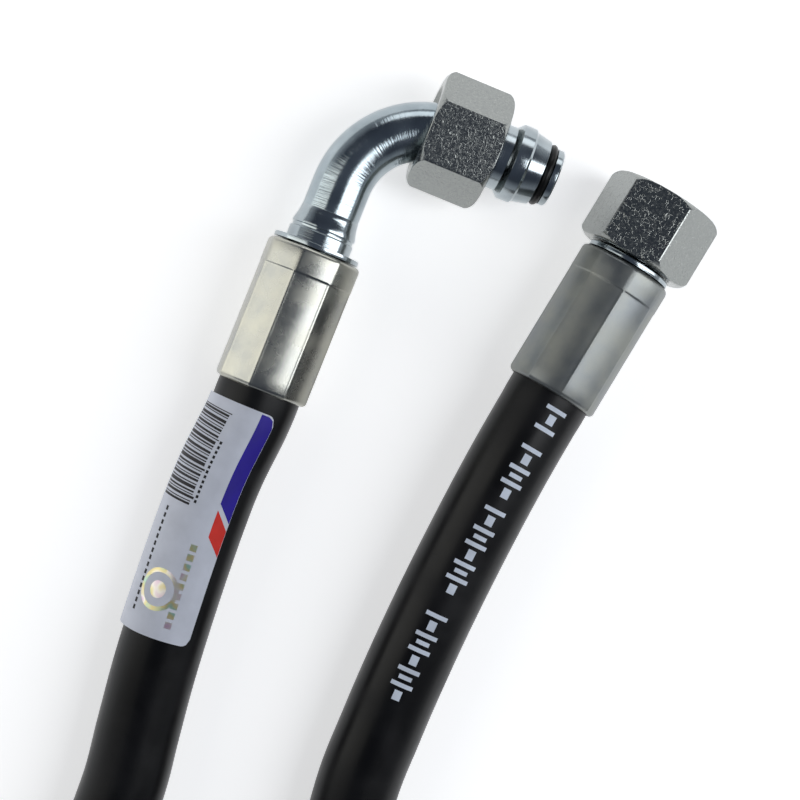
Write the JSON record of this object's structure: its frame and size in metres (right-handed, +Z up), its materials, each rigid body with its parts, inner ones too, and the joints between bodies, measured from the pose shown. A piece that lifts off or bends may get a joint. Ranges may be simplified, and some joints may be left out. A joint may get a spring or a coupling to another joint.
{
  "type": "hydraulic hose assembly",
  "caption": "Two-wire hydraulic hose laid in a flat loop, with a swept elbow at one end and a straight end at the other, each with a cone, an O-ring and a swivel nut.",
  "frame": {"origin": "on the supporting surface, under the middle of the box around the two end fittings (the hose is left out)", "axes": "+Z up from the surface; +X along the elbow's outlet, the way its cone points; the hose leaves the elbow's ferrule towards -Y"},
  "size_m": [0.2114, 0.4464, 0.0302],
  "materials": {
    "tube_zinc": "zinc-plated steel, bright bluish, drawn and bent, semi-gloss",
    "ferrule_zinc": "zinc-plated steel, warm grey, satin, pressed flats",
    "nut_zinc": "zinc-plated steel, satin with small handling scratches",
    "seal_rubber": "moulded nitrile rubber, smooth, semi-gloss",
    "tube_rubber": "extruded nitrile rubber, smooth",
    "braid_wire": "brass-coated high-tensile steel wire, braided",
    "ply_rubber": "soft friction rubber, matt",
    "cover_rubber": "black synthetic rubber, smooth with a faint extrusion sheen",
    "label_film": "printed polyester film, pale grey with a blue and a red band"
  },
  "bodies": {
    "assembly": {"elbow_insert": "tube_zinc", "elbow_ferrule": "ferrule_zinc", "elbow_tube": "tube_zinc", "elbow_cone": "tube_zinc", "elbow_o_ring": "seal_rubber", "straight_stem": "tube_zinc", "straight_ferrule": "ferrule_zinc", "straight_o_ring": "seal_rubber", "hose_inner_tube": "tube_rubber", "hose_inner_braid": "braid_wire", "hose_interply": "ply_rubber", "hose_outer_braid": "braid_wire", "hose_cover": "cover_rubber", "hose_label": "label_film"},
    "elbow_nut": {"elbow_nut": "nut_zinc"},
    "straight_nut": {"straight_nut": "nut_zinc"}
  },
  "joints": [
    {"name": "elbow_nut_slide", "type": "slide", "parent": "assembly", "child": "elbow_nut", "axis": [1, 0, 0], "range_m": [0, 0.018]},
    {"name": "straight_nut_spin", "type": "hinge", "parent": "assembly", "child": "straight_nut", "pos_m": [0.0368, 0.02951, 0.01509], "axis": [0.165, 0.9863, 0], "continuous": true}
  ]
}
